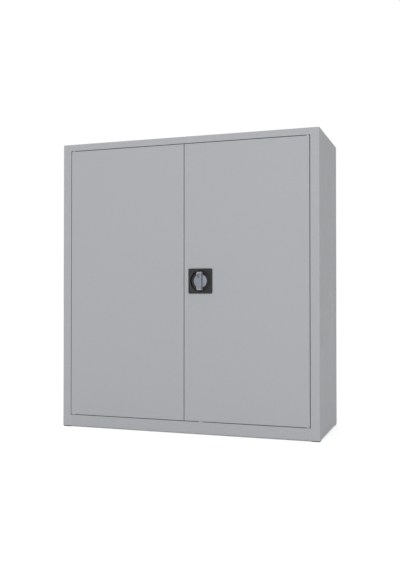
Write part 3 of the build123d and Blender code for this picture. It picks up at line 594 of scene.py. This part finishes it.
def makeGrip(g):
    mesh = bmesh.new()
    width, length, proud = g["width"], g["length"], g["proud"]
    along, into = g["endSlope"]
    ovalLength = barrelHigh.z - barrelLow.z + g["cylinderGap"]
    ovalWidth = barrelHigh.x - barrelLow.x + g["cylinderGap"]
    foot = squareLoop(mesh, width, length, 0.0)
    shoulder = extrudeLoop(mesh, foot, proud - into)
    face = extrudeLoop(mesh, shoulder, into, 1, 1 - 2 * along / length)
    rim = ovalLoop(mesh, ovalLength, ovalWidth, proud)
    pocket = ovalLoop(mesh, ovalLength, ovalWidth, proud - g["cylinderSink"] - g["flange"])
    bmesh.ops.translate(mesh, verts=rim + pocket, vec=(0, barrelZ - lockZ, 0))
    skin(mesh, [face, rim, pocket])
    capLoop(mesh, foot)
    capLoop(mesh, pocket)
    bmesh.ops.recalc_face_normals(mesh, faces=mesh.faces)
    kept = set(rim + pocket + foot)
    corners = [e for e in mesh.edges if kept.isdisjoint(e.verts) and len(e.link_faces) == 2
               and e.calc_face_angle(0) > g["cornerAngle"]]
    bmesh.ops.bevel(mesh, geom=corners, affect="EDGES", offset=g["edge"], segments=3,
                    profile=0.5, material=-1, clamp_overlap=True)
    r, edge, top, back = g["rotorRadius"], g["rotorEdge"], g["rotorProud"], -g["rotorDepth"]
    neck, neckEnd, inside = g["neckRadius"], -g["neckDepth"], edge * arcMiddle
    spinProfile(mesh, [(0, top), (r - edge, top), (r - inside, top - inside), (r, top - edge),
                       (r, back), (neck, back), (neck, neckEnd), (0, neckEnd)], steps=72)
    standUp(mesh, (lockX, doorFront, lockZ))
    finishPiece("gripBar", mesh, "handle", "grip_plastic", ["handle_grip"])


# Key cylinder: an oval flange in the grip, and the plug with its keyway

keyCylinder = {
    "flange": 0.002,
    "flangeEdge": 0.00035,
    "barrelRadius": 0.005,
    "boreRadius": 0.00366,
    "plugRadius": 0.0036,
    "plugEdge": 0.00025,
    "keyway": (0.0016, 0.0052, 0.009),  # width, height, depth
    "wards": 0.00028,  # how far the side walls of the keyway step to the left or right
    "wardRows": (2, 3, 5, 6),  # the points of a side wall that step, counted from below
}


def makeBarrel(c):
    mesh = bmesh.new()
    length, width = barrelHigh.z - barrelLow.z, barrelHigh.x - barrelLow.x
    deep = -(barrelHigh.y - barrelLow.y)
    shoulder = circleLoop(mesh, c["barrelRadius"], -c["flange"], steps=48)
    skin(mesh, [ovalLoop(mesh, length, width, -c["flange"], steps=48), shoulder])
    rim = ovalLoop(mesh, length, width, 0, steps=48)
    skin(mesh, [rim, circleLoop(mesh, c["boreRadius"], 0, steps=48)])
    extrudeLoop(mesh, rim, -c["flange"])  # meets the flange's back
    end = extrudeLoop(mesh, shoulder, deep + c["flange"])
    boreEnd = extrudeLoop(mesh, end, 0, c["boreRadius"] / c["barrelRadius"])
    extrudeLoop(mesh, boreEnd, -deep)  # meets the mouth of the bore
    bmesh.ops.remove_doubles(mesh, verts=mesh.verts, dist=mergeDistance)
    rim = [v for v in mesh.verts
           if abs(v.co.z) < mergeDistance and v.co.xy.length > c["barrelRadius"]]
    roundEdges(mesh, rim, c["flangeEdge"])
    standUp(mesh, (lockX, barrelLow.y, barrelZ))
    finishPiece("keyBarrel", mesh, "handle", "satin_chrome", ["cylinder_barrel"])


def makePlug(c):
    mesh = bmesh.new()
    low, high = nodeBox("key_plug")
    width, height, depth = c["keyway"]
    mouth = squareLoop(mesh, width, height, 0)
    rows = squareCuts + 1
    for v in mouth:
        row = round((v.co.y / height + 0.5) * rows)
        if row in c["wardRows"]:
            side = 1 if row > rows / 2 else -1
            bmesh.ops.translate(mesh, verts=[v], vec=(side * c["wards"], 0, 0))
    capLoop(mesh, extrudeLoop(mesh, mouth, -depth))
    face = circleLoop(mesh, c["plugRadius"], 0, steps=32)
    end = circleLoop(mesh, c["plugRadius"], low.y - high.y, steps=32)
    skin(mesh, [mouth, face, end])
    capLoop(mesh, end)
    roundEdges(mesh, face, c["plugEdge"])
    standUp(mesh, (lockX, low.y, barrelZ))
    finishPiece("keyPlug", mesh, "key_plug", "satin_chrome", ["key_plug"])


# Pan-head screws with a cross recess, driven from the back of the door

screw = {
    "headRadius": 0.0034,
    "headHeight": 0.002,
    "flatRadius": 0.0022,  # the flat round the recess
    "shankRadius": 0.0015,
    "crossReach": 0.0016,
    "crossWidth": 0.0009,
    "crossDepth": 0.0012,
}
endScrew = {
    "headRadius": 0.004,
    "headHeight": 0.0025,
    "flatRadius": 0.0027,
    "shankRadius": 0.002,
    "crossReach": 0.002,
    "crossWidth": 0.0011,
    "crossDepth": 0.0015,
    "washerRadius": 0.007,
    "washerBore": 0.0021,
    "washer": 0.001,
    "washerEdge": 0.0002,
}
headCurve = ((0.85, 0.9), (0.96, 0.66), (1, 0.35), (1, 0))  # shares of radius and height
shankTip = (0.4, 0.85)  # share of the radius, and of the length at which the tip starts
crossTaper = 0.7  # the floor of the recess as a share of its mouth


# The head's seat lies at height 0 and the shank below it. The head starts as a grid with
# lines at 0.1, 0.3 and 0.5: the sides of the cross, its ends and the rim of the flat.
def addScrew(mesh, s, length):
    top = s["headHeight"]
    before = set(mesh.verts)
    bmesh.ops.create_grid(mesh, x_segments=5, y_segments=5, size=0.5)
    grid = [v for v in mesh.verts if v not in before]
    rim = [v for v in grid if max(abs(v.co.x), abs(v.co.y)) > 0.45]
    for v in grid:
        if v in rim:
            v.co = v.co.normalized() * s["flatRadius"]
        else:
            v.co.x, v.co.y = (
                (s["crossReach"] if abs(c) > 0.2 else s["crossWidth"] / 2) * (1 if c > 0 else -1)
                for c in v.co.xy
            )
    bmesh.ops.translate(mesh, verts=grid, vec=(0, 0, top))
    reach, slim = s["crossReach"], s["crossWidth"] / 2
    cross = [f for f in dict.fromkeys(f for v in grid for f in v.link_faces)
             if all(max(abs(v.co.x), abs(v.co.y)) < reach * 1.01 for v in f.verts)
             and min(abs(c) for c in f.calc_center_median().xy) < slim / 2]
    pressed = bmesh.ops.extrude_face_region(mesh, geom=cross)["geom"]
    bmesh.ops.delete(mesh, geom=cross, context="FACES")
    floor = [v for v in pressed if isinstance(v, bmesh.types.BMVert)]
    bmesh.ops.translate(mesh, verts=floor, vec=(0, 0, -s["crossDepth"]))
    bmesh.ops.scale(mesh, verts=floor, vec=(crossTaper, crossTaper, 1))
    shank, (tipRadius, tipStart) = s["shankRadius"], shankTip
    outline = [(s["headRadius"] * wide, top * tall) for wide, tall in headCurve]
    outline += [(shank, 0), (shank, -length * tipStart), (shank * tipRadius, -length)]
    radius, height, loop = s["flatRadius"], top, rim
    for nextRadius, nextHeight in outline:
        loop = extrudeLoop(mesh, loop, nextHeight - height, nextRadius / radius)
        radius, height = nextRadius, nextHeight
    capLoop(mesh, loop)


def repeatAt(mesh, places):
    original = mesh.verts[:] + mesh.edges[:] + mesh.faces[:]
    first = Vector(places[0])
    for place in places[1:]:
        copied = bmesh.ops.duplicate(mesh, geom=original)["geom"]
        verts = [g for g in copied if isinstance(g, bmesh.types.BMVert)]
        bmesh.ops.translate(mesh, verts=verts, vec=Vector(place))
    verts = [g for g in original if isinstance(g, bmesh.types.BMVert)]
    bmesh.ops.translate(mesh, verts=verts, vec=first)


def cornerPlaces(low, high, radius, y):
    return [(x, y, z) for x in (low.x + radius, high.x - radius)
            for z in (low.z + radius, high.z - radius)]


def makeScrews(name, node, s):
    mesh = bmesh.new()
    low, high = nodeBox(node)
    seat = high.y - s["headHeight"]
    addScrew(mesh, s, seat - low.y)
    standUp(mesh, (0, 0, 0), inward=True)
    repeatAt(mesh, cornerPlaces(low, high, s["headRadius"], seat))
    finishPiece(name, mesh, "right_door", "zinc_plated_steel", [node])


def makeEndScrew(s):
    mesh = bmesh.new()
    low, high = nodeBox("end_screw")
    r, t, edge = s["washerRadius"], s["washer"], s["washerEdge"]
    seat = high.y - s["headHeight"]
    addScrew(mesh, s, seat - low.y)
    bore = s["washerBore"]
    spinProfile(mesh, [(bore, 0), (r - edge, 0), (r, -edge), (r, edge - t), (r - edge, -t),
                       (bore, -t), (bore, 0)], steps=40)
    standUp(mesh, (lockX, seat, lockZ), inward=True)
    finishPiece("endScrew", mesh, "handle", "zinc_plated_steel", ["end_screw"])


# Rubber buffers on the stop lips: a domed pad, a peg and a barb behind the sheet

buffer = {
    "radius": 0.0045,
    "dome": ((0.55, 0.995), (0.8, 0.95), (0.93, 0.86), (1, 0.7)),  # shares of radius, height
    "sole": (0.95, 0.0003),  # its share of the radius, and the height of its rounded edge
    "peg": 0.0019,
    "barb": 0.00266,
    "barbEnd": 0.95,  # share of the peg's length at which the barb's slope ends
    "sheet": 0.001,
}


def makeBuffers(b):
    mesh = bmesh.new()
    low, high = nodeBox("door_buffers")
    r, sheet = b["radius"], b["sheet"]
    pad, pegLength = high.y - low.y - 2 * sheet, 2 * sheet
    dome = [(r * wide, pad * tall) for wide, tall in b["dome"]]
    sole, edge = b["sole"]
    spinProfile(mesh, [(0, pad), *dome, (r, edge), (r * sole, 0), (b["peg"], 0),
                       (b["peg"], -sheet), (b["barb"], -sheet),
                       (b["barb"] * tipTaper, -pegLength * b["barbEnd"]), (0, -pegLength)],
                steps=40)
    standUp(mesh, (0, 0, 0))
    repeatAt(mesh, cornerPlaces(low, high, r, low.y + pad))
    finishPiece("doorBuffers", mesh, "carcass", "buffer_rubber", ["door_buffers"])


# Nylon glide on the sill, which the right door runs up on: a block with a peg and a barb

glide = {
    "height": 0.0017,
    "forward": 0.0007,  # how far its nose lies before the solid's front
    "corner": 0.001,
    "edge": 0.0003,
    "peg": 0.0024,
    "barb": 0.00336,
}


def makeGlide(g):
    mesh = bmesh.new()
    low, high = nodeBox("door_glide")
    forward, height, peg = g["forward"], g["height"], g["peg"]
    sheet = (high.z - low.z - height) / 2
    sole = squareLoop(mesh, high.x - low.x, high.y - low.y + forward, 0, g["corner"], cuts=3)
    top = extrudeLoop(mesh, sole, height)
    capLoop(mesh, sole)
    capLoop(mesh, top)
    roundEdges(mesh, top, g["edge"])
    bmesh.ops.translate(mesh, verts=mesh.verts, vec=(0, -forward / 2, 0))
    spinProfile(mesh, [(0, height / 2), (peg, height / 2), (peg, -sheet), (g["barb"], -sheet),
                       (peg * tipTaper, -2 * sheet), (0, -2 * sheet)], steps=32)
    place = ((low.x + high.x) / 2, (low.y + high.y) / 2, high.z - height)
    bmesh.ops.translate(mesh, verts=mesh.verts, vec=place)
    finishPiece("doorGlide", mesh, "carcass", "grey_nylon", ["door_glide"])


# Moulded feet: a rounded square pad with a plug and a barb in the floor sheet

footPad = {
    "height": 0.003,
    "corner": 0.003,
    "edge": 0.0006,
    "plug": 0.004,
    "barb": 0.0045,
    "sheet": 0.001,
}


def makeFoot(name, node, f):
    mesh = bmesh.new()
    low, high = nodeBox(node)
    size = high.x - low.x
    sole = squareLoop(mesh, size, size, 0, f["corner"], cuts=3)
    top = extrudeLoop(mesh, sole, f["height"])
    capLoop(mesh, top)
    capLoop(mesh, sole)
    roundEdges(mesh, sole, f["edge"])
    plug, pad, seat = f["plug"], f["height"], f["height"] + f["sheet"]
    spinProfile(mesh, [(0, pad), (plug, pad), (plug, seat), (f["barb"], seat),
                       (plug * tipTaper, high.z), (0, high.z)], steps=32)
    place = ((low.x + high.x) / 2, (low.y + high.y) / 2, 0)
    bmesh.ops.translate(mesh, verts=mesh.verts, vec=place)
    finishPiece(name, mesh, "carcass", "foot_plastic", [node])


# Spot welds: shallow dents with a raised rim along the feet of the pressed sections

weld = {
    "rim": 0.0029,
    "crest": 0.78,  # share of the rim's radius at which it is highest
    "dent": 0.0015,
    "rise": 0.00022,
    "dentRise": (0.2, 0.35),  # shares of the rise, in the middle and at the edge of the dent
    "sunk": 0.0002,
    "doorPitch": 0.112,
    "doorMargin": 0.038,
    "doorFoot": 0.024,  # stiffener's centre line to the middle of its foot
    "stiffenerSheet": 0.0008,
    "uprightPitch": 0.125,
    "uprightMargin": 0.034,
    "uprightFoot": 0.015,
    "uprightSheet": 0.0012,
}


def evenSteps(start, end, pitch):
    count = max(2, round((end - start) / pitch) + 1)
    return [start + (end - start) * k / (count - 1) for k in range(count)]


def makeWelds(name, body, places, turn):
    mesh = bmesh.new()
    r, rise, sunk = weld["rim"], weld["rise"], weld["sunk"]
    middle, edge = weld["dentRise"]
    spinProfile(mesh, [(0, rise * middle), (weld["dent"], rise * edge),
                       (r * weld["crest"], rise), (r, 0), (r, -sunk), (0, -sunk)], steps=16)
    bmesh.ops.transform(mesh, matrix=turn.to_4x4(), verts=mesh.verts)
    repeatAt(mesh, places)
    finishPiece(name, mesh, body, "body_paint", [], sharpAngle=60)


def weldDoor(side):
    low, high = nodeBox(f"door_stiffener_{side}")
    centre = (low.x + high.x) / 2
    heights = evenSteps(low.z + weld["doorMargin"], high.z - weld["doorMargin"], weld["doorPitch"])
    places = [(centre + foot, low.y + weld["stiffenerSheet"], z)
              for foot in (-weld["doorFoot"], weld["doorFoot"]) for z in heights]
    makeWelds(f"{side}DoorWelds", f"{side}_door", places, Matrix.Rotation(radians(-90), 3, "X"))


def weldUpright(row, side):
    low, high = nodeBox(f"upright_{row}_{side}")
    middle = (low.y + high.y) / 2
    wall, sign = (low.x, 1) if side == "left" else (high.x, -1)
    heights = evenSteps(low.z + weld["uprightMargin"], high.z - weld["uprightMargin"],
                        weld["uprightPitch"])
    places = [(wall + sign * weld["uprightSheet"], middle + foot, z)
              for foot in (-weld["uprightFoot"], weld["uprightFoot"]) for z in heights]
    makeWelds(f"{row}{side.capitalize()}UprightWelds", "carcass", places,
              Matrix.Rotation(radians(sign * 90), 3, "Y"))


makeLockHousing(housing)
makeGrip(grip)
makeBarrel(keyCylinder)
makePlug(keyCylinder)
makeScrews("housingScrews", "housing_screws", screw)
makeScrews("coverScrews", "cover_screws", screw)
makeEndScrew(endScrew)
print("lock pieces made")
makeBuffers(buffer)
makeGlide(glide)
for row in ("front", "rear"):
    for side in ("left", "right"):
        makeFoot(row + side.capitalize() + "Foot", f"foot_{row}_{side}", footPad)
        weldUpright(row, side)
for side in ("left", "right"):
    weldDoor(side)
print("buffers, glide, feet and welds made")


# Studio

studio = {
    "floorSize": 30.0,
    "floorColour": (0.86, 0.86, 0.86),
    "floorRoughness": 0.9,
    "floorGloss": 0.1,
    "floorGlow": 0.5,  # seen by the camera only, so that the floor meets the white backdrop
    "unlit": (0.44, 0.15),  # half size of the part under the cabinet that has no glow
    "unlitEdge": 0.01,
    "roomLight": 0.63,
    "frontLamp": {"place": (0.9, -6.6, 1.9), "size": 3.0, "power": 155.0, "aim": (0, 0, 0.5)},
    "topLamp": {"place": (-0.6, -0.2, 4.4), "size": 2.4, "power": 18.0, "aim": (0, 0, 0.5)},
}


# 1 for what the camera sees, straight or in a glossy or clear surface, and 0 for the light
def cameraOrGloss(tree):
    path = tree.nodes.new("ShaderNodeLightPath")
    total = path.outputs["Is Camera Ray"]
    for ray in ("Is Glossy Ray", "Is Transmission Ray"):
        node = tree.nodes.new("ShaderNodeMath")
        node.operation = "MAXIMUM"
        tree.links.new(total, node.inputs[0])
        tree.links.new(path.outputs[ray], node.inputs[1])
        total = node.outputs[0]
    return total


def lightRoom(settings):
    world = bpy.data.worlds.new("studioRoom")
    world.use_nodes = True
    tree = world.node_tree
    tree.nodes.clear()
    output = tree.nodes.new("ShaderNodeOutputWorld")
    room = tree.nodes.new("ShaderNodeBackground")
    room.inputs["Color"].default_value = (1, 1, 1, 1)
    strength = remap(tree, cameraOrGloss(tree), settings["roomLight"], 1.0, 0.0, 1.0)
    tree.links.new(strength, room.inputs["Strength"])
    tree.links.new(room.outputs["Background"], output.inputs["Surface"])
    bpy.context.scene.world = world


def addFloor(settings):
    mesh = bpy.data.meshes.new("studioFloor")
    sheet = bmesh.new()
    bmesh.ops.create_grid(sheet, x_segments=1, y_segments=1, size=settings["floorSize"])
    sheet.to_mesh(mesh)
    sheet.free()
    floor = bpy.data.objects.new("studioFloor", mesh)
    bpy.context.scene.collection.objects.link(floor)
    material, tree, surface, place = startMaterial("studioFloor")
    split = tree.nodes.new("ShaderNodeSeparateXYZ")
    tree.links.new(place, split.inputs[0])
    surface.inputs["Base Color"].default_value = (*settings["floorColour"], 1.0)
    surface.inputs["Roughness"].default_value = settings["floorRoughness"]
    surface.inputs["Specular IOR Level"].default_value = settings["floorGloss"]
    surface.inputs["Emission Color"].default_value = (1, 1, 1, 1)
    outside = []
    for axis, half in zip("XY", settings["unlit"]):
        distance = tree.nodes.new("ShaderNodeMath")
        distance.operation = "ABSOLUTE"
        tree.links.new(split.outputs[axis], distance.inputs[0])
        edge = half + settings["unlitEdge"]
        outside.append(remap(tree, distance.outputs[0], 0.0, 1.0, half, edge))
    clear = tree.nodes.new("ShaderNodeMath")
    clear.operation = "MAXIMUM"
    for socket, side in zip(clear.inputs, outside):
        tree.links.new(side, socket)
    glow = remap(tree, cameraOrGloss(tree), 0.0, settings["floorGlow"], 0.0, 1.0)
    tree.links.new(multiplied(tree, glow, clear.outputs[0]), surface.inputs["Emission Strength"])
    mesh.materials.append(material)


def addLamp(name, lamp):
    data = bpy.data.lights.new(name, "AREA")
    data.shape = "SQUARE"
    data.size = lamp["size"]
    data.energy = lamp["power"]
    source = bpy.data.objects.new(name, data)
    source.location = lamp["place"]
    aim = Vector(lamp["aim"]) - Vector(lamp["place"])
    source.rotation_euler = aim.to_track_quat("-Z", "Y").to_euler()
    bpy.context.scene.collection.objects.link(source)


lightRoom(studio)
addFloor(studio)
for name in ("frontLamp", "topLamp"):
    addLamp(name, studio[name])
bpy.context.scene.view_settings.view_transform = "Standard"
print("studio lit")
